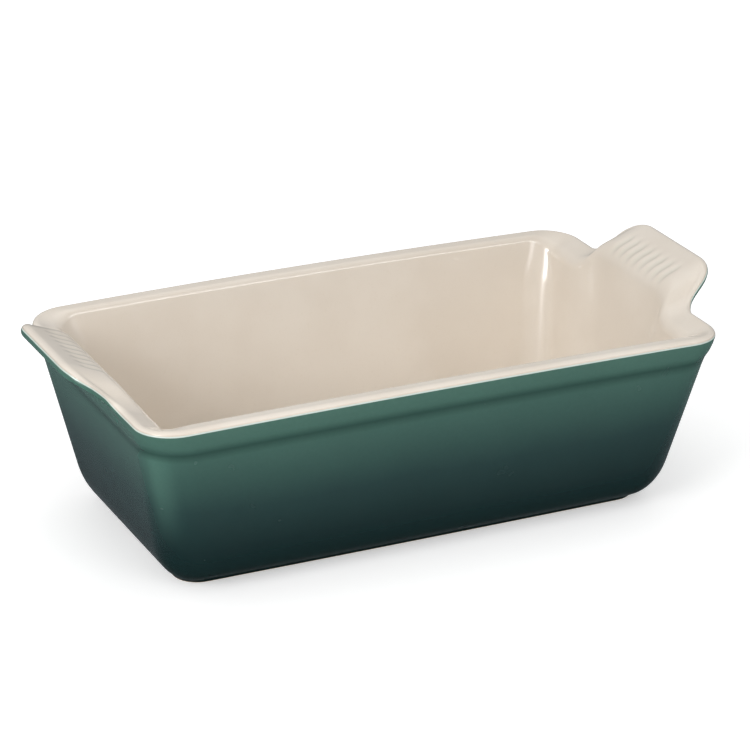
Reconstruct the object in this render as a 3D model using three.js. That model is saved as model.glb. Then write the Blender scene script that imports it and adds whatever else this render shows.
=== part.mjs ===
// A stoneware loaf pan with two curled end handles. The clay is one casting: floor, four drafted walls,
// a band around the rim, a foot ring and the handles. A pale glaze coats the inside, the top of the rim
// and the top of the handles. A coloured glaze coats the outside, and a patch of it the recessed underside.
// Millimetres. Z is up, X runs from handle to handle, and the origin is the middle of the foot's face.

import * as THREE from "three";

// Rim and band
const HALF_LENGTH = 133.9; // middle of the pan to the outside of the rim band, along X
const HALF_WIDTH = 76.7; // the same along Y
const RIM_HEIGHT = 83.6;
const RIM_WIDTH = 8.3; // flat top of the long rims
const BAND_HEIGHT = 12; // rim top to the middle of the groove under the band
const GROOVE_DEPTH = 2.3; // band face to groove
const BAND_LOWER_EDGE = 3.5; // middle of the groove to the lower edge of the band
const BAND_TAPER = 1; // how far the band's lower edge sits inside its upper edge
const BAND_BULGE = 0.3; // how far the band's face swells outwards
const BAND_FACE_RADIUS = 12;
const END_RIM_WIDTH = 13.5; // the end rims slope inwards, from above the long rims
const END_RIM_RISE = 0.5;
const END_RIM_INNER_RISE = -4.6;
const RIM_EDGE_RADII = { side: [3, 2.5], end: [8, 7.5] }; // inner and outer edge
const RIM_CORNER_RADIUS = 16.6;
const SIDE_BOW = 0.75; // the long walls swell outwards this far in their middle
const RIM_CROWN = 1.3; // and their rim stands this much higher there

// Walls, floor and foot
const WALL_CORNER_RADIUS = 19.6;
const BASE_HALF_LENGTH = 117; // where the outer wall's slope would meet the height of the foot
const BASE_HALF_WIDTH = 59.3;
const BASE_EDGE_RADIUS = { side: 22.5, end: 29.7 };
// How steeply the underside still climbs where it meets the foot
const BASE_LEAD = { side: THREE.MathUtils.degToRad(28.5), end: THREE.MathUtils.degToRad(43.5) };
const WALL = 7.5;
const FLOOR_HEIGHT = 9;
const FLOOR_EDGE_RADIUS = 13;
const FOOT_HALF_LENGTH = 109;
const FOOT_HALF_WIDTH = 46.5;
const FOOT_CORNER_RADIUS = 11;
const FOOT_HEIGHT = 1.6;
const SHOULDER = 0.4; // how far the foot stands in from the base above it
const FOOT_RING_WIDTH = 8;
const UNDERSIDE_RECESS = 1;
const LEAST_CORNER_RADIUS = 3;

// Handles
const HANDLE_REACH = 16.9; // band face to the top edge of the lip
const HANDLE_RISE = 15.9; // long rim to the top edge of the lip
const LIP_SLOPE = THREE.MathUtils.degToRad(21);
const LIP_THICKNESS = 5.3;
const LIP_LEAN = THREE.MathUtils.degToRad(15);
const LIP_EDGE_RADIUS = 3;
const LIP_UNDER_RADIUS = 2.2;
const CURL_RADIUS = 14;
const TUCK_REACH = 0.5; // where the lip's underside meets the band, out from the band's face
const TUCK_RISE = 2; // and above the long rims
const TUCK_RADIUS = 10;
const TIP_HALF_WIDTH = 30.5; // half the lip's width, to where its sides would meet its front edge
const ROOT_HALF_WIDTH = 37.5; // the same where its sides meet the end rim
const TIP_RADIUS = 12.3;
const ROOT_RADIUS = 11.3;
const HANDLE_BLEND_DEPTH = 25; // below the rim, where the end wall starts to widen into the handle

// Grip panel: a shallow hollow on top of each handle, with ribs that run outwards
const RIB_PITCH = 6;
const RIB_HEIGHT = 0.6;
const PANEL_DEPTH = 0.7;
const PANEL_HALF_WIDTH = 4 * RIB_PITCH;

const GLAZE = 0.45;

// Steps around each arc of the section, from the floor's edge, over the rim and down to the foot
const UPPER_ARC_STEPS = { floor: 4, inner: 5, rim: 4, lip: 2, tuck: 3, band: 2, groove: 3 };
const ARC_STEPS = { ...UPPER_ARC_STEPS, base: 4, foot: 1, tread: 1, ring: 0, recess: 0 };
const LEG_ROWS = { inner: 2, rim: 2, base: 2 }; // rows on the straight legs that lead to some of the arcs
const LONG_SIDE_STEPS = 3;
const CORNER_STEPS = 5;
const ARC_NAMES = Object.keys(ARC_STEPS);

// The first row of the section that belongs to an arc. Row 0 is the middle of the floor.
function firstRow(name) {
  const before = ARC_NAMES.slice(0, ARC_NAMES.indexOf(name));
  const legRows = [...before, name].reduce((rows, arc) => rows + (LEG_ROWS[arc] ?? 0), 0);
  return before.reduce((row, arc) => row + ARC_STEPS[arc] + 1, 1 + legRows);
}

const RECESS_ROW = firstRow("recess");
const UNDERSIDE_ROW = RECESS_ROW + 1; // the middle of the underside
const GLAZE_LINE_ROW = firstRow("rim") + 3;
const GLAZE_FOOT_ROW = firstRow("tread");

// A corner of a line: half its angle, the directions to its neighbours, and how much of both legs its arc needs.
function lineCorner(back, corner, next, radius) {
  const toBack = back.clone().sub(corner).normalize();
  const toNext = next.clone().sub(corner).normalize();
  const half = Math.acos(THREE.MathUtils.clamp(toBack.dot(toNext), -1, 1)) / 2;
  return { corner, toBack, toNext, half, reach: radius / Math.tan(half) };
}

// The points of the arc that rounds a corner.
function arcPoints({ corner, toBack, toNext, half, reach }, share, steps) {
  const radius = share * reach * Math.tan(half);
  const middle = toBack.clone().add(toNext).normalize();
  const across = toNext.clone().sub(toBack).normalize();
  const centre = corner.clone().addScaledVector(middle, radius / Math.sin(half));
  const points = [];
  for (let k = 0; k <= steps; k++) {
    const turn = steps ? (Math.PI / 2 - half) * ((2 * k) / steps - 1) : 0;
    const point = centre.clone();
    point.addScaledVector(middle, -radius * Math.cos(turn));
    point.addScaledVector(across, radius * Math.sin(turn));
    points.push(point);
  }
  return points;
}

// A line through the points, each but the two ends rounded by its radius and sampled with its steps. Where two
// arcs need more than the leg between them, both are drawn tighter. Returns one list of points for each corner.
function roundedLine(line, radii, steps) {
  const corners = radii.map((radius, i) => lineCorner(line[i], line[i + 1], line[i + 2], radius));
  const reachOf = (i) => corners[i]?.reach ?? 0;
  const crowding = (i) => Math.max(1, (reachOf(i - 1) + reachOf(i)) / (0.98 * line[i].distanceTo(line[i + 1])));
  return corners.map((corner, i) => arcPoints(corner, 1 / Math.max(crowding(i), crowding(i + 1)), steps[i]));
}

// Where a line through a point, with a run for each unit of rise, meets a line through another.
function meet(pointA, runA, pointB, runB) {
  const rise = (pointB.x - pointA.x + runA * pointA.y - runB * pointB.y) / (runA - runB);
  return new THREE.Vector2(pointA.x + runA * (rise - pointA.y), rise);
}

// The corners of the lip at the middle of a handle: its inner face, its top edge, its under edge and the tuck
// where it meets the band.
function handleCorners(innerWall, draft) {
  const top = new THREE.Vector2(HALF_LENGTH + HANDLE_REACH, RIM_HEIGHT + HANDLE_RISE);
  const inner = meet(innerWall, draft, top, 1 / Math.tan(LIP_SLOPE));
  const down = new THREE.Vector2(Math.sin(LIP_LEAN), -Math.cos(LIP_LEAN));
  const lip = top.clone().addScaledVector(down, LIP_THICKNESS);
  const tuck = new THREE.Vector2(HALF_LENGTH + TUCK_REACH, RIM_HEIGHT + TUCK_RISE);
  const radii = [CURL_RADIUS, LIP_EDGE_RADIUS, LIP_UNDER_RADIUS, TUCK_RADIUS];
  return { corners: [inner, top, lip, tuck], radii };
}

// The same corners where there is no handle: the rim's two edges and two places on the band's rounded face.
function rimCorners(place, rim, under) {
  const isSide = place === "side";
  const innerRise = isSide ? -0.4 : END_RIM_INNER_RISE;
  const inner = new THREE.Vector2(rim - (isSide ? RIM_WIDTH : END_RIM_WIDTH), RIM_HEIGHT + innerRise);
  const top = new THREE.Vector2(rim, RIM_HEIGHT + (isSide ? 0 : END_RIM_RISE));
  const outwards = new THREE.Vector2(top.y - under.y, BAND_TAPER).normalize();
  const lip = top.clone().lerp(under, 0.42).addScaledVector(outwards, BAND_BULGE);
  const tuck = top.clone().lerp(under, 0.72).addScaledVector(outwards, 0.8 * BAND_BULGE);
  const radii = [...RIM_EDGE_RADII[place], BAND_FACE_RADIUS, BAND_FACE_RADIUS];
  return { corners: [inner, top, lip, tuck], radii };
}

// The wall's section at one place. x is the distance from the middle of the pan and y the height.
function wallSection(kind) {
  const isSide = kind === "side";
  const place = isSide ? "side" : "end";
  const rim = isSide ? HALF_WIDTH : HALF_LENGTH;
  const base = isSide ? BASE_HALF_WIDTH : BASE_HALF_LENGTH;
  const foot = isSide ? FOOT_HALF_WIDTH : FOOT_HALF_LENGTH;
  const grooveHeight = RIM_HEIGHT - BAND_HEIGHT;
  const groove = new THREE.Vector2(rim - GROOVE_DEPTH, grooveHeight);
  const draft = (groove.x - base) / (grooveHeight - FOOT_HEIGHT);
  const shoulder = new THREE.Vector2(foot + SHOULDER, FOOT_HEIGHT);
  const baseEdge = meet(groove, draft, shoulder, 1 / Math.tan(BASE_LEAD[place]));
  const innerWall = new THREE.Vector2(base - WALL * Math.hypot(1, draft), FOOT_HEIGHT);
  const under = new THREE.Vector2(rim - BAND_TAPER, grooveHeight + BAND_LOWER_EDGE);
  const upper = kind === "handle" ? handleCorners(innerWall, draft) : rimCorners(place, rim, under);
  const line = [
    new THREE.Vector2(0, FLOOR_HEIGHT),
    new THREE.Vector2(innerWall.x + draft * (FLOOR_HEIGHT - innerWall.y), FLOOR_HEIGHT),
    ...upper.corners,
    under,
    groove,
    baseEdge,
    shoulder,
    new THREE.Vector2(foot, 0),
    new THREE.Vector2(foot - FOOT_RING_WIDTH, 0),
    new THREE.Vector2(foot - FOOT_RING_WIDTH - 1, UNDERSIDE_RECESS),
    new THREE.Vector2(0, UNDERSIDE_RECESS),
  ];
  const radii = [FLOOR_EDGE_RADIUS, ...upper.radii, 5, 4, BASE_EDGE_RADIUS[place], 0.3, 0.4, 0, 0];
  const rows = [line[0]];
  roundedLine(line, radii, Object.values(ARC_STEPS)).forEach((arc, i) => {
    const start = rows[rows.length - 1];
    const legRows = LEG_ROWS[ARC_NAMES[i]] ?? 0;
    for (let k = 1; k <= legRows; k++) rows.push(start.clone().lerp(arc[0], k / (legRows + 1)));
    rows.push(...arc);
  });
  return [...rows, line[line.length - 1]];
}

const SIDE = wallSection("side");
const END = wallSection("end");
const HANDLE = wallSection("handle");

// The corner radius of the pan's plan at one row, from the draft of the walls or the outline of the foot.
function cornerRadius(row) {
  const { x, y } = SIDE[row];
  if (row >= firstRow("foot")) return Math.max(FOOT_CORNER_RADIUS + x - FOOT_HALF_WIDTH, LEAST_CORNER_RADIUS);
  const height = Math.min(y, RIM_HEIGHT);
  const draft = (HALF_WIDTH - GROOVE_DEPTH - BASE_HALF_WIDTH) / (RIM_HEIGHT - BAND_HEIGHT - FOOT_HEIGHT);
  const band = THREE.MathUtils.smoothstep(height, RIM_HEIGHT - BAND_HEIGHT - 4, RIM_HEIGHT - 2);
  const radius = THREE.MathUtils.lerp(WALL_CORNER_RADIUS, RIM_CORNER_RADIUS, band);
  return Math.max(x - (HALF_WIDTH - radius - draft * (RIM_HEIGHT - height)), LEAST_CORNER_RADIUS);
}

// Stations along half of an end, from its corner to the middle of the handle. Each has its place along the
// end, the same place on the handle's outline, how far out on the handle it is, from 0 to 1, and which way
// is outwards.
function endStations() {
  const reach = Math.hypot(HANDLE_REACH, HANDLE_RISE - END_RIM_RISE);
  const straight = HALF_WIDTH - RIM_CORNER_RADIUS;
  const line = [
    new THREE.Vector2(straight, 0),
    new THREE.Vector2(ROOT_HALF_WIDTH, 0),
    new THREE.Vector2(TIP_HALF_WIDTH, reach),
    new THREE.Vector2(0, reach),
  ];
  const outline = [line[0], ...roundedLine(line, [ROOT_RADIUS, TIP_RADIUS], [3, 4]).flat()];
  const tipEdge = outline.length - 1;
  for (let rib = PANEL_HALF_WIDTH - RIB_PITCH / 2; rib >= 0; rib -= RIB_PITCH / 2) {
    if (rib < outline[tipEdge].x - 1) outline.push(new THREE.Vector2(rib, reach));
  }
  const lengths = [0];
  for (let i = 1; i < outline.length; i++) lengths.push(lengths[i - 1] + outline[i].distanceTo(outline[i - 1]));
  const last = outline.length - 1;
  const outwards = outline.map((_, i) => {
    if (i === 0 || i === last) return new THREE.Vector2(0, 1);
    const ahead = outline[i + 1].clone().sub(outline[i - 1]).normalize();
    return new THREE.Vector2(ahead.y, -ahead.x);
  });
  return outline.map((point, i) => ({
    along: 1 - lengths[i] / lengths[last],
    outlineAlong: point.x / straight,
    out: point.y / reach,
    outwards: outwards[i],
    isRib: i > tipEdge && (last - i) % 3 !== 0,
  }));
}

const STATIONS = endStations();

// The columns of one quarter of the pan, each at a place u: 0 to 1 on the long side, 1 to 2 around the corner
// and 2 to 3 along the end.
function quarterColumns(detail) {
  const columns = [];
  for (let i = 0; i < LONG_SIDE_STEPS; i++) columns.push({ u: i / LONG_SIDE_STEPS });
  for (let i = 0; i < CORNER_STEPS; i++) columns.push({ u: 1 + i / CORNER_STEPS });
  STATIONS.forEach((station, i) => {
    const isEdge = i === 0 || i === STATIONS.length - 1;
    if (detail === "plain" && !isEdge && i !== 4) return;
    if (detail === "handle" && station.isRib) return;
    columns.push({ u: 3 - station.along, station });
  });
  return columns;
}

// How far a row from the rim's edge to the groove stands out beyond the inner edge of the rim.
function overhang(row, out) {
  const rim = firstRow("rim");
  if (row < rim || row >= firstRow("groove")) return 0;
  const reachOf = (at) => THREE.MathUtils.lerp(END[at].x, HANDLE[at].x, out);
  return Math.max(reachOf(row) - reachOf(rim), 0);
}

// One point of the pan's outer skin, in the quarter where x and y are positive.
function skinPoint(row, { u, station }) {
  const radius = cornerRadius(row);
  const side = SIDE[row];
  const end = END[row];
  const point = new THREE.Vector3();
  if (u < 1) {
    point.set(u * (end.x - radius), side.x, side.y);
  } else if (!station) {
    const angle = ((u - 1) * Math.PI) / 2;
    const turn = Math.sin(angle) ** 2;
    point.x = end.x - radius + radius * Math.sin(angle);
    point.y = side.x - radius + radius * Math.cos(angle);
    point.z = THREE.MathUtils.lerp(side.y, end.y, turn);
  } else {
    const { x, y: height } = end.clone().lerp(HANDLE[row], station.out);
    const blend = (height - RIM_HEIGHT + HANDLE_BLEND_DEPTH) / HANDLE_BLEND_DEPTH;
    const along = THREE.MathUtils.lerp(station.along, station.outlineAlong, THREE.MathUtils.clamp(blend, 0, 1));
    // The lip's edge turns outwards from the handle's outline, so it keeps its thickness around the notches.
    const sweep = overhang(row, station.out);
    const { x: sideways, y: endways } = station.outwards;
    point.set(x - sweep * (1 - endways), along * (side.x - radius) + sweep * sideways, height);
  }
  const middle = 1 - Math.min(point.x / HALF_LENGTH, 1) ** 2;
  point.y += SIDE_BOW * middle * Math.min(1, point.y);
  point.z += RIM_CROWN * middle * THREE.MathUtils.clamp((point.z - 20) / (RIM_HEIGHT - 20), 0, 1);
  return point;
}

// How far the grip panel moves the skin outwards at one row and one distance from the handle's middle line.
function gripRelief(row, y) {
  const first = firstRow("inner") + 2;
  const last = firstRow("rim") - 1;
  if (row < first || row > last) return 0;
  const across = 1 - THREE.MathUtils.smoothstep(Math.abs(y), PANEL_HALF_WIDTH - 2.5, PANEL_HALF_WIDTH);
  const rib = 0.5 + 0.5 * Math.cos((2 * Math.PI * y) / RIB_PITCH);
  return across * (RIB_HEIGHT * rib - PANEL_DEPTH);
}

// All columns of a row around the whole pan, in order, each with a place t from 0 to 12. The first and last
// rows are single points.
function ringOf(row) {
  if (row === 0 || row === UNDERSIDE_ROW) return [{ t: 0, point: new THREE.Vector3(0, 0, SIDE[row].y) }];
  const panelRows = row > firstRow("inner") + 1 && row < firstRow("rim");
  const upper = row >= firstRow("inner") - 1 && row <= firstRow("groove") + ARC_STEPS.groove + 1;
  const detail = panelRows ? "ribs" : upper ? "handle" : "plain";
  const quarter = quarterColumns(detail).map((column) => ({ t: column.u, point: skinPoint(row, column) }));
  const mirrored = (ring, sx, sy, from) =>
    ring.map(({ t, point }) => ({ t: Math.abs(from - t), point: point.clone().multiply({ x: sx, y: sy, z: 1 }) }));
  const back = quarter.slice(1, -1).reverse();
  return [
    ...mirrored(quarter, 1, -1, 0),
    ...mirrored([...back, quarter[0]], 1, 1, 6),
    ...mirrored(quarter.slice(1), -1, 1, -6),
    ...mirrored(back, -1, -1, 12),
  ];
}

const RINGS = [];
for (let row = 0; row <= UNDERSIDE_ROW; row++) RINGS.push(ringOf(row));

// Triangles between two neighbouring rings, whose points need not be equally many.
function stitch(row) {
  const lower = RINGS[row];
  const upper = RINGS[row + 1];
  const lowerSteps = lower.length > 1 ? lower.length : 0;
  const upperSteps = upper.length > 1 ? upper.length : 0;
  const triangles = [];
  let i = 0;
  let j = 0;
  while (i < lowerSteps || j < upperSteps) {
    const nextLower = i < lowerSteps ? (lower[i + 1]?.t ?? 12) : Infinity;
    const nextUpper = j < upperSteps ? (upper[j + 1]?.t ?? 12) : Infinity;
    const a = [row, i % lower.length];
    const b = [row + 1, j % upper.length];
    if (nextLower < nextUpper) triangles.push([a, b, [row, ++i % lower.length]]);
    else triangles.push([a, b, [row + 1, ++j % upper.length]]);
  }
  return triangles;
}

const STRIPS = [];
for (let row = 0; row < UNDERSIDE_ROW; row++) STRIPS.push(stitch(row));

// The skin's normal at every ring point, from the faces around it.
function addNormals() {
  for (const ring of RINGS) ring.forEach((vertex) => (vertex.normal = new THREE.Vector3()));
  for (const triangle of STRIPS.flat()) {
    const [a, b, c] = triangle.map(([row, index]) => RINGS[row][index]);
    const face = b.point.clone().sub(a.point).cross(c.point.clone().sub(a.point));
    for (const vertex of [a, b, c]) vertex.normal.add(face);
  }
  for (const ring of RINGS) ring.forEach((vertex) => vertex.normal.normalize());
}

// The glaze's outer face with the grip panel in it, and the clay's face one coat below.
function addCoats() {
  RINGS.forEach((ring, row) => {
    for (const vertex of ring) {
      const onHandle = Math.abs(vertex.point.x) > HALF_LENGTH - END_RIM_WIDTH - 8;
      const relief = onHandle ? gripRelief(row, vertex.point.y) : 0;
      vertex.glaze = vertex.point.clone().addScaledVector(vertex.normal, relief);
      vertex.clay = vertex.glaze.clone().addScaledVector(vertex.normal, -GLAZE);
    }
  });
}

addNormals();
addCoats();

const isBare = (row) => row > GLAZE_FOOT_ROW && row < RECESS_ROW;
const glazeAt = ([row, index]) => RINGS[row][index].glaze;
const clayAt = ([row, index]) => (isBare(row) ? RINGS[row][index].glaze : RINGS[row][index].clay);
const turned = ([a, b, c]) => [a, c, b];

// A closed mesh from triangles, each a list of three points.
function meshOf(name, triangles, material) {
  const geometry = new THREE.BufferGeometry().setFromPoints(triangles.flat());
  geometry.computeVertexNormals();
  const mesh = new THREE.Mesh(geometry, material);
  mesh.name = name;
  return mesh;
}

// The edge of a coat at one row: the narrow face between the glaze's skin and the clay.
function coatEdge(row, facesFoot) {
  const ring = RINGS[row];
  return ring.flatMap((_, i) => {
    const a = [row, i];
    const b = [row, (i + 1) % ring.length];
    const faces = [
      [glazeAt(a), glazeAt(b), clayAt(b)],
      [glazeAt(a), clayAt(b), clayAt(a)],
    ];
    return facesFoot ? faces.map(turned) : faces;
  });
}

function stonewareBody() {
  const triangles = STRIPS.flat().map((corners) => corners.map(clayAt));
  const bareClay = new THREE.MeshStandardMaterial({ color: 0xc9b79a, roughness: 0.85, metalness: 0 });
  return meshOf("stoneware_body", triangles, bareClay);
}

// Both faces of a coat over some of the skin's triangles.
function coatFaces(skin) {
  const outer = skin.map((corners) => corners.map(glazeAt));
  const inner = skin.map((corners) => turned(corners.map(clayAt)));
  return [...outer, ...inner];
}

function interiorGlaze() {
  const skin = STRIPS.slice(0, GLAZE_LINE_ROW).flat();
  const cream = new THREE.MeshStandardMaterial({ color: 0xd9cfbd, roughness: 0.22, metalness: 0 });
  return meshOf("interior_glaze", [...coatFaces(skin), ...coatEdge(GLAZE_LINE_ROW, true)], cream);
}

function exteriorGlaze() {
  const skin = STRIPS.slice(GLAZE_LINE_ROW, GLAZE_FOOT_ROW).flat();
  const edges = [...coatEdge(GLAZE_LINE_ROW, false), ...coatEdge(GLAZE_FOOT_ROW, true)];
  const green = new THREE.MeshStandardMaterial({ color: 0x3c5c54, roughness: 0.25, metalness: 0 });
  return meshOf("exterior_glaze", [...coatFaces(skin), ...edges], green);
}

function undersideGlaze() {
  const darkGreen = new THREE.MeshStandardMaterial({ color: 0x1c2d30, roughness: 0.3, metalness: 0 });
  const skin = STRIPS[RECESS_ROW];
  return meshOf("underside_glaze", [...coatFaces(skin), ...coatEdge(RECESS_ROW, false)], darkGreen);
}

const loafPan = new THREE.Group();
loafPan.add(stonewareBody(), interiorGlaze(), exteriorGlaze(), undersideGlaze());

export default loafPan;
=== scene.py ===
"""A stoneware loaf pan with curled, fluted end handles: cream glaze inside, shaded green glaze outside."""

import math

import bpy
import numpy as np
from mathutils import Matrix, Vector


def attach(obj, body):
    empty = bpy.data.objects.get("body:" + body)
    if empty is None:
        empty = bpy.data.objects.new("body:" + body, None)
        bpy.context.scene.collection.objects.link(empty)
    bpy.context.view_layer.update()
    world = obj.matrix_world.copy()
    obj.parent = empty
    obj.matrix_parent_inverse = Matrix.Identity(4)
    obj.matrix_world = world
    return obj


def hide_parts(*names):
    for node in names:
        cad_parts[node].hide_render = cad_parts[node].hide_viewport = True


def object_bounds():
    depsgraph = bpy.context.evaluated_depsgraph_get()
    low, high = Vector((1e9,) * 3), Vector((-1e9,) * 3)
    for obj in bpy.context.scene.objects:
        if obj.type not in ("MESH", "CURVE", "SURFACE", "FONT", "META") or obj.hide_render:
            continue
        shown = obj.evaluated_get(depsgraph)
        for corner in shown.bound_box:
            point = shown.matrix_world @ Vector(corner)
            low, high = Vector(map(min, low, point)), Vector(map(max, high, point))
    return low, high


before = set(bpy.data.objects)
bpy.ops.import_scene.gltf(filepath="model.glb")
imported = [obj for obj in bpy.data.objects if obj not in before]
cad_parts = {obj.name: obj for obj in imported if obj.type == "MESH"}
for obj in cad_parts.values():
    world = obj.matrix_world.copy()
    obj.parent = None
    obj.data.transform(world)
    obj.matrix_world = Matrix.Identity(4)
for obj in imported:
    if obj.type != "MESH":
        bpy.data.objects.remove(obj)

CAD_LOW, CAD_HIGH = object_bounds()

# The pan, in millimetres. Z is up, X runs from handle to handle, and the foot stands on Z 0.
HALF_LENGTH = 133.9
HALF_WIDTH = 76.7
RIM_HEIGHT = 83.6
RIM_WIDTH = 8.3
RIM_INNER_DROP = 0.4
BAND_HEIGHT = 12.0
BAND_LOWER_EDGE = 3.5
BAND_TAPER = 1.0
BAND_BULGE = 0.3
BAND_BULGE_FROM = 0.42
BAND_BULGE_TO = 0.72
BAND_BULGE_EASE = 0.8
BAND_FACE_RADIUS = 12.0
GROOVE_DEPTH = 2.3
END_RIM_WIDTH = 13.5
END_RIM_RISE = 0.5
END_RIM_INNER_DROP = 4.6
RIM_EDGE_RADII = {"side": [3.0, 2.5], "end": [8.0, 7.5]}
RIM_CORNER_RADIUS = 16.6
SIDE_BOW = 0.75
RIM_CROWN = 1.3
CROWN_FROM_HEIGHT = 20.0

WALL_CORNER_RADIUS = 19.6
CORNER_CHANGE_BELOW_BAND = 4.0
CORNER_CHANGE_BELOW_RIM = 2.0
BASE_HALF_LENGTH = 117.0
BASE_HALF_WIDTH = 59.3
BASE_EDGE_RADIUS = {"side": 22.5, "end": 29.7}
BASE_LEAD = {"side": math.radians(28.5), "end": math.radians(43.5)}
WALL = 7.5
FLOOR_HEIGHT = 9.0
FLOOR_EDGE_RADIUS = 13.0
FOOT_HALF_LENGTH = 109.0
FOOT_HALF_WIDTH = 46.5
FOOT_CORNER_RADIUS = 11.0
FOOT_HEIGHT = 1.6
SHOULDER = 0.4
FOOT_RING_WIDTH = 8.0
RING_INNER_SLOPE = 1.0
UNDERSIDE_RECESS = 1.0
LEAST_CORNER_RADIUS = 3.0
BAND_EDGE_RADIUS = 5.0
GROOVE_RADIUS = 4.0
SHOULDER_RADIUS = 0.3
TREAD_RADIUS = 0.4

# The handles
HANDLE_REACH = 16.9
HANDLE_RISE = 15.9
LIP_SLOPE = math.radians(21)
LIP_THICKNESS = 5.3
LIP_LEAN = math.radians(15)
LIP_EDGE_RADIUS = 3.0
LIP_UNDER_RADIUS = 2.2
TUCK_REACH = 0.5
TUCK_RISE = 2.0
TUCK_RADIUS = 10.0
CURL_RADIUS = 14.0
TIP_HALF_WIDTH = 30.5
ROOT_HALF_WIDTH = 37.5
TIP_RADIUS = 12.3
ROOT_RADIUS = 11.3
HANDLE_BLEND_DEPTH = 25.0

# The grip panel on each handle: a shallow hollow with flutes that run outwards
FLUTE_PITCH = 6.0
FLUTE_DEPTH = 0.6
PANEL_DEPTH = 0.1
PANEL_HALF_WIDTH = 4 * FLUTE_PITCH
PANEL_FADE = 2.5
PANEL_FROM_TIP = 7.5
PANEL_LENGTH = 24.0
PANEL_TIP_FADE = 2.0
PANEL_WALL_FADE = 7.0
PANEL_TIP_SCALLOP = 1.2
PANEL_CLEARANCE = 8.0

# The glaze: its thickness, and how wide the darkening around the groove spreads, partly pooled glaze and
# partly painted shade
GLAZE = 0.45
POOL_AND_SHADE_HALF_WIDTH = 2.3

# Steps around each arc of the wall's section, and along the straight leg that leads to it
ARC_NAMES = ["floor", "inner", "rim", "lip", "tuck", "band"]
ARC_NAMES += ["groove", "base", "foot", "tread", "ring", "recess"]
ARC_STEPS = [8, 18, 12, 6, 6, 6, 10, 14, 2, 2, 0, 0]
LEG_STEPS = [6, 12, 6, 2, 3, 2, 2, 14, 3, 1, 1, 3, 1]
LONG_SIDE_STEPS = 12
CORNER_STEPS = 14
OUTLINE_ARC_STEPS = [12, 14]
OUTLINE_LEG_STEPS = [6, 3, 1]
FLUTE_STEPS = 8
# Rows down the rim's arc to the line where cream meets green
GLAZE_LINE_STEP = 9
# The least gap, in steps, between the tip's arc and the first station on the handle's straight edge
LEAST_FIRST_STEP = 0.3
# The most of a leg that the arcs at its ends may take up
LEG_SHARE_OF_ARCS = 0.98

# How far the skin on an upright corner has turned to face lengthways, from 0 to 1, where the paler colour of
# thin glaze and painted sheen starts, and where it is strongest
CORNER_PALE_FROM = 0.45
CORNER_PALEST = 0.85

# How the skin under the handles is smoothed
RELAX_PASSES = 8
RELAX_STRENGTH = 0.6
RELAX_FADE = 0.12


def arc_start(name):
    """The row of the section where an arc starts. Row 0 is the middle of the floor."""
    place = ARC_NAMES.index(name)
    return sum(LEG_STEPS[: place + 1]) + sum(ARC_STEPS[:place])


LAST_ROW = sum(ARC_STEPS) + sum(LEG_STEPS)
GLAZE_LINE_ROW = arc_start("rim") + GLAZE_LINE_STEP
GLAZE_FOOT_ROW = arc_start("tread")
RECESS_ROW = arc_start("recess")


def lerp(a, b, share):
    return a + (b - a) * share


def smoothstep(value, low, high):
    share = np.clip((value - low) / (high - low), 0, 1)
    return share * share * (3 - 2 * share)


def unit(vector):
    return vector / np.linalg.norm(vector)


def rounded_line(corners, radii, arc_steps, leg_steps):
    """Points along straight legs between the corners, with an arc at every corner but the two ends. Where two
    arcs would need more than the leg between them, both are drawn tighter."""
    corners = np.array(corners, float)
    legs = np.diff(corners, axis=0)
    lengths = np.linalg.norm(legs, axis=1)
    ahead = legs / lengths[:, None]
    halves = np.arccos(np.clip(-np.sum(ahead[:-1] * ahead[1:], 1), -1, 1)) / 2
    reaches = np.array(radii) / np.tan(halves)
    crowding = np.maximum(1, (np.append(0, reaches) + np.append(reaches, 0)) / (LEG_SHARE_OF_ARCS * lengths))
    reaches = reaches / np.maximum(crowding[:-1], crowding[1:])
    points = [corners[0]]
    for i, (corner, half, reach, steps) in enumerate(zip(corners[1:-1], halves, reaches, arc_steps)):
        radius = reach * math.tan(half)
        middle, across = unit(ahead[i + 1] - ahead[i]), unit(ahead[i + 1] + ahead[i])
        centre = corner + middle * radius / math.sin(half)
        turns = (math.pi / 2 - half) * np.linspace(-1, 1, steps + 1) if steps else np.zeros(1)
        curve = centre - radius * np.outer(np.cos(turns), middle) + radius * np.outer(np.sin(turns), across)
        points += leg(points[-1], curve[0], leg_steps[i])
        points += list(curve)
    points += leg(points[-1], corners[-1], leg_steps[-1])
    return np.array(points + [corners[-1]])


def leg(start, end, steps):
    """The points between the ends of a straight leg, without the ends."""
    return [lerp(start, end, k / steps) for k in range(1, steps)]


def meet(point_a, run_a, point_b, run_b):
    """Where two lines meet, each through a point and with a run for each unit of rise."""
    rise = (point_b[0] - point_a[0] + run_a * point_a[1] - run_b * point_b[1]) / (run_a - run_b)
    return np.array([point_a[0] + run_a * (rise - point_a[1]), rise])


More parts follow.
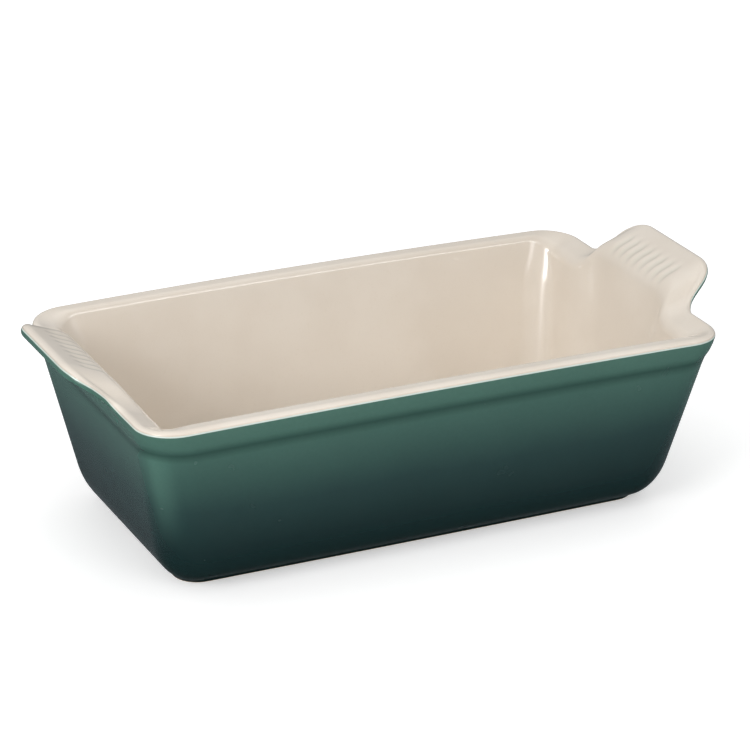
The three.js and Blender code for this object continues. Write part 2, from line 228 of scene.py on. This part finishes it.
def wall_section(kind):
    """The wall's section at a side, an end or a handle: distance from the pan's middle, and height."""
    is_side = kind == "side"
    rim = HALF_WIDTH if is_side else HALF_LENGTH
    base = BASE_HALF_WIDTH if is_side else BASE_HALF_LENGTH
    foot = FOOT_HALF_WIDTH if is_side else FOOT_HALF_LENGTH
    place = "side" if is_side else "end"
    groove = np.array([rim - GROOVE_DEPTH, RIM_HEIGHT - BAND_HEIGHT])
    draft = (groove[0] - base) / (groove[1] - FOOT_HEIGHT)
    shoulder = np.array([foot + SHOULDER, FOOT_HEIGHT])
    base_edge = meet(groove, draft, shoulder, 1 / math.tan(BASE_LEAD[place]))
    inner_wall = np.array([base - WALL * math.hypot(1, draft), FOOT_HEIGHT])
    under = np.array([rim - BAND_TAPER, groove[1] + BAND_LOWER_EDGE])
    if kind == "handle":
        top = np.array([rim + HANDLE_REACH, RIM_HEIGHT + HANDLE_RISE])
        inner = meet(inner_wall, draft, top, 1 / math.tan(LIP_SLOPE))
        lip = top + LIP_THICKNESS * np.array([math.sin(LIP_LEAN), -math.cos(LIP_LEAN)])
        tuck = np.array([rim + TUCK_REACH, RIM_HEIGHT + TUCK_RISE])
        rim_radii = [CURL_RADIUS, LIP_EDGE_RADIUS, LIP_UNDER_RADIUS, TUCK_RADIUS]
    else:
        rise = 0 if is_side else END_RIM_RISE
        width = RIM_WIDTH if is_side else END_RIM_WIDTH
        inner_drop = RIM_INNER_DROP if is_side else END_RIM_INNER_DROP
        inner, top = np.array([rim - width, RIM_HEIGHT - inner_drop]), np.array([rim, RIM_HEIGHT + rise])
        bulge = unit(np.array([top[1] - under[1], BAND_TAPER])) * BAND_BULGE
        lip = lerp(top, under, BAND_BULGE_FROM) + bulge
        tuck = lerp(top, under, BAND_BULGE_TO) + BAND_BULGE_EASE * bulge
        rim_radii = [*RIM_EDGE_RADII[place], BAND_FACE_RADIUS, BAND_FACE_RADIUS]
    floor_edge = inner_wall + (FLOOR_HEIGHT - FOOT_HEIGHT) * np.array([draft, 1])
    ring_edge = foot - FOOT_RING_WIDTH
    corners = [(0, FLOOR_HEIGHT), floor_edge, inner, top, lip, tuck, under, groove, base_edge, shoulder]
    corners += [(foot, 0), (ring_edge, 0), (ring_edge - RING_INNER_SLOPE, UNDERSIDE_RECESS)]
    corners += [(0, UNDERSIDE_RECESS)]
    base_radii = [BASE_EDGE_RADIUS[place], SHOULDER_RADIUS, TREAD_RADIUS, 0, 0]
    radii = [FLOOR_EDGE_RADIUS, *rim_radii, BAND_EDGE_RADIUS, GROOVE_RADIUS, *base_radii]
    return rounded_line(corners, radii, ARC_STEPS, LEG_STEPS)


def corner_radii(side):
    """The corner radius of the pan's plan at every row of the section."""
    across, height = side[:, 0], np.minimum(side[:, 1], RIM_HEIGHT)
    draft = (HALF_WIDTH - GROOVE_DEPTH - BASE_HALF_WIDTH) / (RIM_HEIGHT - BAND_HEIGHT - FOOT_HEIGHT)
    change_from = RIM_HEIGHT - BAND_HEIGHT - CORNER_CHANGE_BELOW_BAND
    band = smoothstep(height, change_from, RIM_HEIGHT - CORNER_CHANGE_BELOW_RIM)
    radius = lerp(WALL_CORNER_RADIUS, RIM_CORNER_RADIUS, band)
    radius = across - (HALF_WIDTH - radius - draft * (RIM_HEIGHT - height))
    radius[arc_start("foot") :] = FOOT_CORNER_RADIUS + across[arc_start("foot") :] - FOOT_HALF_WIDTH
    return np.maximum(radius, LEAST_CORNER_RADIUS)


def end_stations():
    """Stations along half of an end, from its corner to the handle's middle: the place along the end, the
    same place on the handle's outline, how far out on the handle it is, from 0 to 1, and which way is
    outwards."""
    reach = math.hypot(HANDLE_REACH, HANDLE_RISE - END_RIM_RISE)
    straight = HALF_WIDTH - RIM_CORNER_RADIUS
    corners = [(straight, 0), (ROOT_HALF_WIDTH, 0), (TIP_HALF_WIDTH, reach), (0, reach)]
    radii = [ROOT_RADIUS, TIP_RADIUS]
    outline = rounded_line(corners, radii, OUTLINE_ARC_STEPS, OUTLINE_LEG_STEPS)[:-1]
    step = FLUTE_PITCH / FLUTE_STEPS
    steps = math.floor(outline[-1][0] / step - LEAST_FIRST_STEP)
    edge = step * np.arange(steps, -1, -1)
    outline = np.concatenate([outline, np.stack([edge, np.full(len(edge), reach)], 1)])
    lengths = np.concatenate([[0], np.cumsum(np.linalg.norm(np.diff(outline, axis=0), axis=1))])
    ahead = np.gradient(outline, lengths, axis=0)
    ahead /= np.linalg.norm(ahead, axis=1, keepdims=True)
    along, out = 1 - lengths / lengths[-1], outline[:, 1] / reach
    return along, outline[:, 0] / straight, out, ahead[:, 1], -ahead[:, 0]


def quarter_skin():
    """The pan's outer skin where x and y are positive: rows of the section by columns around the pan."""
    side, end, handle = (wall_section(kind)[:, None, :] for kind in ("side", "end", "handle"))
    radius = corner_radii(side[:, 0])[:, None]
    centre_x, centre_y = end[..., 0] - radius, side[..., 0] - radius
    place = np.linspace(0, 1, LONG_SIDE_STEPS, endpoint=False)[None]
    long_side = np.broadcast_arrays(centre_x * place, side[..., 0], side[..., 1])
    angle = np.linspace(0, math.pi / 2, CORNER_STEPS, endpoint=False)[None]
    turn = np.sin(angle) ** 2
    corner = [centre_x + radius * np.sin(angle), centre_y + radius * np.cos(angle)]
    corner.append(lerp(side[..., 1], end[..., 1], turn))
    along, outline_along, out, sideways, endways = (values[None] for values in end_stations())
    height = lerp(end[..., 1], handle[..., 1], out)
    blend = np.clip((height - RIM_HEIGHT + HANDLE_BLEND_DEPTH) / HANDLE_BLEND_DEPTH, 0, 1)
    along = lerp(along, outline_along, blend)
    reach = lerp(end[..., 0], handle[..., 0], out)
    # From the rim to the groove, what reaches past the rim goes outwards along the handle's outline
    rim, groove = arc_start("rim"), arc_start("groove")
    sweep = np.maximum(reach - reach[rim], 0)
    sweep[:rim], sweep[groove:] = 0, 0
    end_wall = [reach - sweep * (1 - endways), along * centre_y + sweep * sideways, height]
    x, y, z = (np.concatenate(parts, 1) for parts in zip(long_side, corner, end_wall))
    # The long sides bow out and crown towards their middles
    middle = 1 - np.minimum(x / HALF_LENGTH, 1) ** 2
    crown = np.clip((z - CROWN_FROM_HEIGHT) / (RIM_HEIGHT - CROWN_FROM_HEIGHT), 0, 1)
    return np.stack([x, y + SIDE_BOW * middle * np.minimum(1, y), z + RIM_CROWN * middle * crown], -1)


def relaxed(quarter):
    """The quarter's skin, smoothed under the handle, where the lip's edge runs out into the band."""
    rows = slice(arc_start("lip"), arc_start("groove"))
    columns = slice(LONG_SIDE_STEPS + CORNER_STEPS, -1)
    out = end_stations()[2][:-1]
    share = smoothstep(out * (1 - out), 0, RELAX_FADE)[None, :, None]
    quarter = quarter.copy()
    for _ in range(RELAX_PASSES):
        above = quarter[rows.start - 1 : rows.stop - 1, columns]
        below = quarter[rows.start + 1 : rows.stop + 1, columns]
        beside = quarter[rows, columns.start - 1 : -2] + quarter[rows, columns.start + 1 :]
        mean = (above + below + beside) / 4
        quarter[rows, columns] = lerp(quarter[rows, columns], mean, RELAX_STRENGTH * share)
    return quarter


def mirrored(part, x_sign, y_sign):
    return part * np.array([x_sign, y_sign, 1])


def full_skin():
    """The whole skin, with the floor and the underside drawn in to a single point each."""
    quarter = relaxed(quarter_skin())
    back = quarter[:, -2:0:-1]
    parts = [mirrored(quarter, 1, -1), back, quarter[:, :1]]
    parts += [mirrored(quarter[:, 1:], -1, 1), mirrored(back, -1, -1)]
    skin = np.concatenate(parts, 1)
    floor_row = arc_start("floor")
    for row in range(floor_row):
        share = row / floor_row
        skin[row] = skin[floor_row] * np.array([share, share, 1])
    for row in range(RECESS_ROW + 1, LAST_ROW + 1):
        share = (LAST_ROW - row) / (LAST_ROW - RECESS_ROW)
        skin[row] = skin[RECESS_ROW] * np.array([share, share, 1])
    return skin


def skin_normals(skin):
    """The outward direction at each point of the skin."""
    around = np.roll(skin, -1, 1) - np.roll(skin, 1, 1)
    down = np.gradient(skin, axis=0)
    normals = np.cross(down, around)
    normals[0], normals[-1] = (0, 0, 1), (0, 0, -1)
    return normals / np.linalg.norm(normals, axis=-1, keepdims=True)


def grip_relief(skin):
    """How far the grip panels move the skin outwards, and how deep in a flute each point is, from 0 to 1."""
    section = wall_section("handle")
    steps = np.linalg.norm(np.diff(section, axis=0), axis=1)
    lengths = np.concatenate([[0], np.cumsum(steps)])
    from_tip = (lengths[arc_start("rim")] - lengths)[:, None]
    across = np.abs(skin[..., 1])
    valley = 0.5 - 0.5 * np.cos(2 * math.pi * across / FLUTE_PITCH)
    sides = 1 - smoothstep(across, PANEL_HALF_WIDTH - PANEL_FADE, PANEL_HALF_WIDTH)
    start = PANEL_FROM_TIP + PANEL_TIP_SCALLOP * (1 - valley)
    panel = smoothstep(from_tip, start, start + PANEL_TIP_FADE) * sides
    panel = panel * (1 - smoothstep(from_tip, PANEL_LENGTH - PANEL_WALL_FADE, PANEL_LENGTH))
    panel = panel * (np.abs(skin[..., 0]) > HALF_LENGTH - END_RIM_WIDTH - PANEL_CLEARANCE)
    return -panel * (PANEL_DEPTH + FLUTE_DEPTH * valley), panel * valley


def frame_fit(skin):
    """The shares that bring the finely rounded skin exactly to the CAD's box, in metres."""
    low, high = skin.reshape(-1, 3).min(0), skin.reshape(-1, 3).max(0)
    return (np.array(CAD_HIGH) - np.array(CAD_LOW)) / (high - low)


SKIN = full_skin()
NORMALS = skin_normals(SKIN)
RELIEF, FLUTE = grip_relief(SKIN)
GLAZE_SKIN = SKIN + NORMALS * RELIEF[..., None]
CLAY_SKIN = GLAZE_SKIN - NORMALS * GLAZE
CLAY_SKIN[GLAZE_FOOT_ROW + 1 : RECESS_ROW] = GLAZE_SKIN[GLAZE_FOOT_ROW + 1 : RECESS_ROW]
TO_METRES = frame_fit(GLAZE_SKIN)


def distance_from_row(row):
    """How far each point of the skin lies from one row of the section, measured down the section, in mm."""
    steps = np.linalg.norm(np.diff(GLAZE_SKIN, axis=0), axis=-1)
    lengths = np.concatenate([np.zeros((1, steps.shape[1])), np.cumsum(steps, 0)])
    return np.abs(lengths - lengths[row])


def groove_pool_and_shade():
    """How dark the green is made in and near the groove, from 0 to 1: partly glaze pooled there, partly
    painted shade.
    """
    groove_row = arc_start("groove") + ARC_STEPS[ARC_NAMES.index("groove")] // 2
    return np.exp(-((distance_from_row(groove_row) / POOL_AND_SHADE_HALF_WIDTH) ** 2))


def corner_sheen_and_thinning():
    """How far each point lies on an upright corner of the walls, from 0 to 1. The glaze runs thin there, and
    a paler sheen is painted there.
    """
    lengthways = np.abs(NORMALS[..., 0]) / np.linalg.norm(NORMALS[..., :2], axis=-1).clip(1e-6)
    on_wall = (np.arange(SKIN.shape[0]) >= arc_start("groove"))[:, None]
    return smoothstep(lengthways, CORNER_PALE_FROM, CORNER_PALEST) * (1 - smoothstep(lengthways, CORNER_PALEST, 1)) * on_wall


# What the finishes read at each point of the skin: depth in a flute, millimetres from the line where cream
# meets green, darkening in the groove from pooled glaze and painted shade, and nearness to an upright corner
GLAZE_MARKS = {
    "flute": FLUTE,
    "glaze_line": distance_from_row(GLAZE_LINE_ROW),
    "pool": groove_pool_and_shade(),
    "corner": corner_sheen_and_thinning(),
}


class SkinMesh:
    """Collects faces over rows of the skin, and makes one piece of them."""

    def __init__(self):
        self.points = []
        self.faces = []
        self.marks = {name: [] for name in GLAZE_MARKS}

    def add_rows(self, skin, first, last):
        """Adds the vertices of some rows, and returns their numbers. A row that is one point becomes one."""
        columns = skin.shape[1]
        numbers = []
        for row in range(first, last + 1):
            is_point = row in (0, LAST_ROW)
            count = 1 if is_point else columns
            start = len(self.points)
            self.points += list(skin[row, :count])
            for name, values in GLAZE_MARKS.items():
                self.marks[name] += list(values[row, :count])
            numbers.append([start + (0 if is_point else i) for i in range(columns)])
        return numbers

    def join(self, lower, upper, flipped=False):
        """Faces between two neighbouring rings of vertices."""
        for i in range(len(lower)):
            ahead = (i + 1) % len(lower)
            face = [lower[i], upper[i], upper[ahead], lower[ahead]]
            face = list(dict.fromkeys(face))
            self.faces.append(face[::-1] if flipped else face)

    def add_skin(self, skin, first, last, flipped=False):
        """Adds the skin over some rows, and returns its vertices' numbers, row by row."""
        numbers = self.add_rows(skin, first, last)
        for lower, upper in zip(numbers, numbers[1:]):
            self.join(lower, upper, flipped)
        return numbers

    def piece(self, name, node, slot, finish):
        """Makes the faces one named piece that stands for a node of the pan."""
        mesh = bpy.data.meshes.new(name)
        mesh.from_pydata([tuple(point * TO_METRES) for point in self.points], [], self.faces)
        for mark, values in self.marks.items():
            mesh.attributes.new(mark, "FLOAT", "POINT").data.foreach_set("value", values)
        mesh.polygons.foreach_set("use_smooth", [True] * len(mesh.polygons))
        mesh.materials.append(finish)
        mesh.update()
        piece = bpy.data.objects.new(name, mesh)
        bpy.context.scene.collection.objects.link(piece)
        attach(piece, "root")
        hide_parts(node)
        return piece


def clay_piece(finish):
    body = SkinMesh()
    body.add_skin(CLAY_SKIN, 0, LAST_ROW)
    return body.piece("pan_clay", "stoneware_body", "fired_clay", finish)


def coat_piece(name, node, slot, finish, first, last):
    """A coat of glaze over some rows: its outer face, its face on the clay, and its edges."""
    coat = SkinMesh()
    outer = coat.add_skin(GLAZE_SKIN, first, last)
    inner = coat.add_skin(CLAY_SKIN, first, last, flipped=True)
    if first > 0:
        coat.join(inner[0], outer[0])
    if last < LAST_ROW:
        coat.join(outer[-1], inner[-1])
    return coat.piece(name, node, slot, finish)


class Channel:
    """A socket of a finish. Arithmetic on it adds Math nodes."""

    def __init__(self, finish, socket):
        self.finish = finish
        self.socket = socket

    def math(self, operation, *values):
        return self.finish.node("Math", {"operation": operation}, dict(enumerate(values)))

    def __add__(self, other):
        return self.math("ADD", self, other)

    def __radd__(self, other):
        return self.math("ADD", other, self)

    def __sub__(self, other):
        return self.math("SUBTRACT", self, other)

    def __rsub__(self, other):
        return self.math("SUBTRACT", other, self)

    def __mul__(self, other):
        return self.math("MULTIPLY", self, other)

    def __rmul__(self, other):
        return self.math("MULTIPLY", other, self)

    def between(self, low, high):
        """0 below low, 1 above high, and smooth between them."""
        ends = {"Value": self, "From Min": low, "From Max": high}
        return self.finish.node("MapRange", {"interpolation_type": "SMOOTHSTEP"}, ends)


class Finish:
    """A material, or the studio's air, made of nodes around one shader."""

    def __init__(self, name, owners=None, shader="Principled BSDF"):
        owners = bpy.data.materials if owners is None else owners
        self.owner = owners.new(name)
        self.owner.use_nodes = True
        self.tree = self.owner.node_tree
        self.shader = self.tree.nodes[shader]

    def node(self, kind, settings=None, inputs=None, output=0):
        """Adds a node: first its settings, then the values or links of its sockets."""
        made = self.tree.nodes.new("ShaderNode" + kind)
        for name, value in (settings or {}).items():
            if name == "stops":
                self.set_stops(made.color_ramp, value)
            else:
                setattr(made, name, value)
        for name, value in (inputs or {}).items():
            self.feed(made.inputs[name], value)
        return Channel(self, made.outputs[output])

    def feed(self, socket, value):
        if isinstance(value, Channel):
            self.tree.links.new(value.socket, socket)
        else:
            socket.default_value = value

    def set_stops(self, ramp, stops):
        while len(ramp.elements) < len(stops):
            ramp.elements.new(0.5)
        for element, (position, colour) in zip(ramp.elements, stops):
            element.position = position
            element.color = (*colour, 1)

    def position(self):
        return self.node("TexCoord", output="Object")

    def height(self):
        return self.node("SeparateXYZ", {}, {0: self.position()}, "Z")

    def attribute(self, name):
        return self.node("Attribute", {"attribute_name": name}, output="Fac")

    def noise(self, size, detail=2.0):
        """Noise from 0 to 1 whose lumps are about the given size, in metres."""
        inputs = {"Vector": self.position(), "Scale": 1 / size, "Detail": detail, "Roughness": 0.5}
        return self.node("TexNoise", {}, inputs)

    def ramp(self, factor, stops):
        return self.node("ValToRGB", {"stops": stops}, {"Fac": factor})

    def mix(self, factor, a, b):
        """A colour between two, by a factor. Sockets 6 and 7 and output 2 are the node's colours."""
        return self.node("Mix", {"data_type": "RGBA"}, {0: factor, 6: a, 7: b}, 2)

    def bump(self, height, depth):
        return self.node("Bump", {}, {"Height": height, "Distance": depth, "Strength": 1.0})

    def shade(self, **values):
        """Sets the shader's sockets. An underscore in a name stands for a space."""
        for name, value in values.items():
            self.feed(self.shader.inputs[name.replace("_", " ")], value)
        return self.owner


def linear(red, green, blue):
    """A colour that is given on the screen's scale of 0 to 255."""
    screen = np.array([red, green, blue]) / 255
    return tuple(np.where(screen <= 0.04045, screen / 12.92, ((screen + 0.055) / 1.055) ** 2.4).tolist())


def rgba(*colour):
    return (*linear(*colour), 1)


# The height over which the green shades, in metres
SHADED_HEIGHT = 0.084


def cream_glaze():
    """Warm cream with faint clouds and grain, painted shade in the flutes, and browner along its edge."""
    finish = Finish("cream_glaze")
    clouds = finish.noise(0.045, detail=3)
    grain = finish.noise(0.0012, detail=2)
    colour = finish.mix(clouds.between(0.35, 0.65), rgba(227, 217, 204), rgba(232, 223, 211))
    colour = finish.mix(grain.between(0.55, 0.8) * 0.12, colour, rgba(214, 200, 180))
    # Painted shade: the cream is darkened and greyed in the hollows of the flutes.
    flute_shade = finish.attribute("flute")
    colour = finish.mix(flute_shade * 0.3, colour, rgba(196, 196, 182))
    thin = 1 - finish.attribute("glaze_line").between(0.15, 0.9)
    colour = finish.mix(thin * 0.5, colour, rgba(196, 178, 160))
    roughness = 0.16 + 0.08 * finish.noise(0.012)
    normal = finish.bump(finish.noise(0.009, detail=1), 0.00004)
    return finish.shade(Base_Color=colour, Roughness=roughness, Normal=normal, IOR=1.5)


def green_glaze():
    """Green that shades from nearly black at the foot to light at the band. It is darker in the groove, where
    glaze pools and shade is painted, paler on the upright corners, where it runs thin and a sheen is painted,
    and a painted highlight runs along its upper edge."""
    finish = Finish("green_glaze")
    drift = finish.noise(0.05, detail=3) - 0.5
    level = finish.height() + 0.008 * drift
    stops = [
        (0.0, linear(9, 33, 33)),
        (0.25, linear(20, 41, 42)),
        (0.5, linear(36, 60, 59)),
        (0.8, linear(60, 92, 84)),
        (1.0, linear(70, 105, 94)),
    ]
    shading = finish.ramp(level * (1 / SHADED_HEIGHT), stops)
    # Paler on the upright corners: partly glaze running thin, partly a painted sheen.
    thin = finish.attribute("corner") * level.between(0.02, 0.055)
    colour = finish.mix(thin * 0.2, shading, rgba(104, 150, 134))
    # Darker in the groove: partly glaze pooled there, partly painted shade in the crease.
    colour = finish.mix(finish.attribute("pool") * 0.75, colour, rgba(36, 64, 58))
    # Painted highlight: a near-white line on the green along its edge with the cream, standing in for a
    # lamp's reflection on the rim.
    edge = 1 - finish.attribute("glaze_line").between(0.45, 0.75)
    colour = finish.mix(edge * 0.85, colour, rgba(216, 228, 220))
    speckle = finish.noise(0.0015, detail=0)
    colour = finish.mix(speckle * 0.08, colour, rgba(22, 44, 42))
    roughness = 0.2 + 0.1 * finish.noise(0.010)
    return finish.shade(Base_Color=colour, Roughness=roughness, Specular_IOR_Level=0.4)


def underside_glaze():
    """The dark green patch inside the foot ring."""
    finish = Finish("underside_glaze")
    clouds = finish.noise(0.02, detail=4)
    colour = finish.mix(clouds, rgba(22, 42, 42), rgba(36, 62, 60))
    normal = finish.bump(finish.noise(0.004), 0.00008)
    roughness = 0.3 + 0.15 * clouds
    return finish.shade(Base_Color=colour, Roughness=roughness, Normal=normal, Specular_IOR_Level=0.2)


def fired_clay():
    """Bare buff clay with fine grit, which shows on the foot ring."""
    finish = Finish("fired_clay")
    clouds = finish.noise(0.012, detail=4)
    grit = finish.noise(0.0006, detail=3)
    colour = finish.mix(clouds, rgba(186, 168, 142), rgba(206, 190, 166))
    colour = finish.mix(grit.between(0.6, 0.75), colour, rgba(150, 124, 98))
    normal = finish.bump(grit, 0.0001)
    return finish.shade(Base_Color=colour, Roughness=0.8 + 0.1 * grit, Normal=normal)


# The studio: a floor of glowing white paper, soft air and lamps, in metres and watts
FLOOR_RADIUS = 8
FLOOR_GLOW = 0.38
AIR_STRENGTH = 0.54
LAMP_DISTANCE = 1.3
OVERHEAD_DISTANCE = 1.6


def studio_floor():
    """A wide round floor, so that no view sees its edge near the pan. The glaze mirrors the dark room below
    the pan's level instead of the floor."""
    bpy.ops.mesh.primitive_circle_add(vertices=96, radius=FLOOR_RADIUS, fill_type="NGON")
    floor = bpy.context.object
    floor.name = "studio_floor"
    finish = Finish("floor_paper")
    colour = finish.mix(finish.noise(0.3), rgba(252, 252, 252), rgba(254, 254, 254))
    finish.shade(Base_Color=colour, Roughness=0.9, Specular_IOR_Level=0.0)
    paper = finish.shade(Emission_Color=colour, Emission_Strength=FLOOR_GLOW)
    floor.data.materials.append(paper)
    floor.visible_glossy = False


def softbox(name, direction, size, power, distance=LAMP_DISTANCE, only_mirrored=False):
    """A rectangular light in a direction from the pan, turned to face it. One that is only mirrored shows in
    the glaze as a highlight, and lights nothing."""
    light = bpy.data.lights.new(name, "AREA")
    light.shape = "RECTANGLE"
    light.size, light.size_y = size
    light.energy = power
    lamp = bpy.data.objects.new(name, light)
    toward = Vector(direction).normalized()
    lamp.location = PAN_MIDDLE + toward * distance
    lamp.rotation_euler = toward.to_track_quat("Z", "Y").to_euler()
    lamp.visible_diffuse = not only_mirrored
    lamp.visible_camera = False
    bpy.context.scene.collection.objects.link(lamp)


def studio_light():
    """Air that is dark below the pan's level and pale above it, three soft lamps, and three that only show as
    highlights in the glaze."""
    air = Finish("studio_air", bpy.data.worlds, "Background")
    height = air.node("SeparateXYZ", {}, {0: air.node("TexCoord", output="Generated")}, "Z")
    colour = air.mix(height.between(-0.85, -0.5), (0.06, 0.07, 0.07, 1), (0.26, 0.29, 0.31, 1))
    colour = air.mix(height.between(-0.12, 0.3), colour, (1, 1, 1, 1))
    bpy.context.scene.world = air.shade(Color=colour, Strength=AIR_STRENGTH)
    softbox("left_softbox", (-0.86, -0.42, 0.45), (0.7, 0.5), 6.2)
    softbox("front_softbox", (0.1, -0.9, 0.5), (0.7, 0.5), 3)
    softbox("overhead_softbox", (0.1, 0.2, 1.0), (1.4, 1.4), 4.2, distance=OVERHEAD_DISTANCE)
    softbox("near_edge_strip", (0.39, -0.86, 0.25), (0.9, 0.2), 6, only_mirrored=True)
    softbox("left_edge_strip", (-0.9, -0.3, 0.36), (0.5, 0.35), 12, only_mirrored=True)
    softbox("corner_strip", (-0.88, -0.44, 0.04), (0.25, 0.6), 3, only_mirrored=True)


# The camera, aimed a little above the middle of the pan
CAMERA_AZIMUTH = math.radians(-24.976)
CAMERA_ELEVATION = math.radians(23.002)
CAMERA_ROLL = math.radians(0.1437)
CAMERA_DISTANCE = 1.42445
AIM_HEIGHT = 0.045
AIM_SHIFT = (0.001011, 0.013178)
LENS = 156.25
SENSOR = 36.0
PAN_MIDDLE = Vector((0, 0, AIM_HEIGHT))


def axes_of(ahead):
    """Which way is right and which is up, for a camera that looks ahead."""
    right = ahead.cross(Vector((0, 0, 1))).normalized()
    return right, right.cross(ahead)


def studio_camera():
    level = Vector((math.sin(CAMERA_AZIMUTH), -math.cos(CAMERA_AZIMUTH), 0))
    back = level * math.cos(CAMERA_ELEVATION) + Vector((0, 0, math.sin(CAMERA_ELEVATION)))
    place = PAN_MIDDLE + back * CAMERA_DISTANCE
    right, up = axes_of(-back)
    aim = PAN_MIDDLE + right * AIM_SHIFT[0] + up * AIM_SHIFT[1]
    ahead = (aim - place).normalized()
    right, up = axes_of(ahead)
    turn = Matrix.Rotation(CAMERA_ROLL, 3, -ahead)
    right, up = turn @ right, turn @ up
    camera = bpy.data.cameras.new("studio_camera")
    camera.lens = LENS
    camera.sensor_width = SENSOR
    camera.clip_end = 50
    stand = bpy.data.objects.new("studio_camera", camera)
    stand.matrix_world = Matrix((right, up, -ahead)).transposed().to_4x4()
    stand.location = place
    bpy.context.scene.collection.objects.link(stand)
    bpy.context.scene.camera = stand


studio_camera()
studio_floor()
studio_light()
bpy.context.scene.view_settings.view_transform = "Standard"

green = green_glaze()
clay_piece(fired_clay())
coat_piece("cream_coat", "interior_glaze", "cream_glaze", cream_glaze(), 0, GLAZE_LINE_ROW)
coat_piece("green_coat", "exterior_glaze", "green_glaze", green, GLAZE_LINE_ROW, GLAZE_FOOT_ROW)
coat_piece("underside_coat", "underside_glaze", "green_glaze", underside_glaze(), RECESS_ROW, LAST_ROW)
